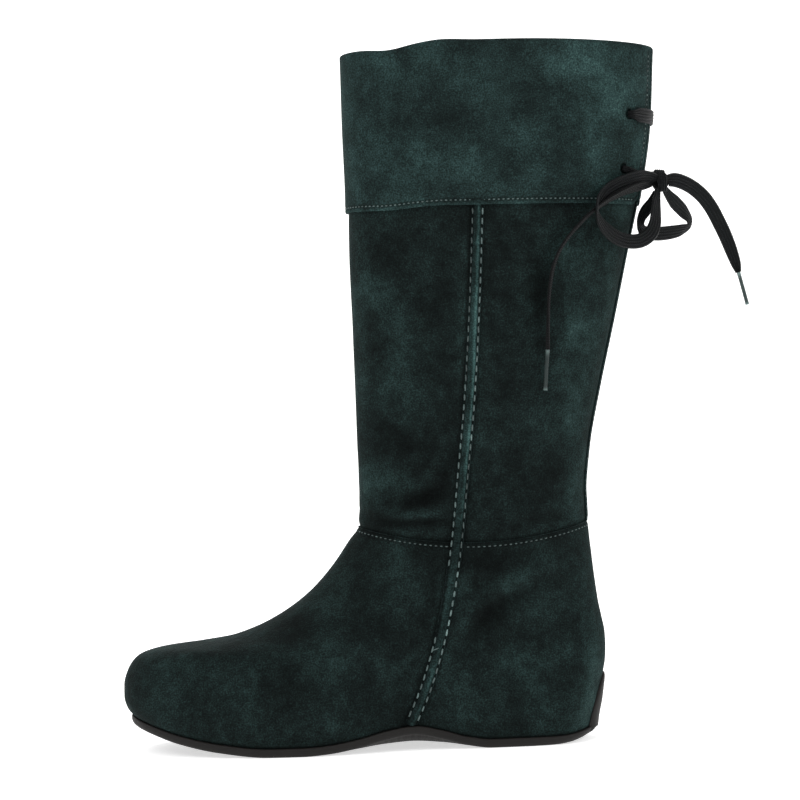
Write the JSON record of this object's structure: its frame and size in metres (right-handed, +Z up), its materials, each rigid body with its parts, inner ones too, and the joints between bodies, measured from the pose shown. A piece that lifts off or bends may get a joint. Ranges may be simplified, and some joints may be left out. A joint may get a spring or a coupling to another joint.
{
  "type": "suede boot",
  "caption": "Left mid-calf suede boot with a turned-over cuff laced at the back, raised stitched side strips and a low cupped rubber sole.",
  "frame": {"origin": "on the floor, on the flat of the heel, in the middle of the sole's width", "axes": "+Z up; the toe points to -X; the outer (lateral) side of the foot is at -Y"},
  "size_m": [0.3349, 0.0889, 0.3644],
  "materials": {
    "suede": "matt napped suede, dark teal green",
    "rubber": "matt black rubber",
    "lining": "matt dark lining",
    "braid": "flat black braided lace",
    "clear_plastic": "clear lace tip over dark braid"
  },
  "bodies": {
    "root": {"outsole": "rubber", "insole": "lining", "upper": "suede", "cuff": "suede", "side_strip_outer": "suede", "side_strip_inner": "suede", "back_strip": "suede", "lace_bar": "braid", "lace_lead_near": "braid", "lace_lead_far": "braid", "lace_knot": "braid", "lace_loop_near": "braid", "lace_loop_far": "braid", "lace_end_near": "braid", "lace_end_far": "braid", "aglet_near": "clear_plastic", "aglet_far": "clear_plastic"}
  },
  "joints": []
}
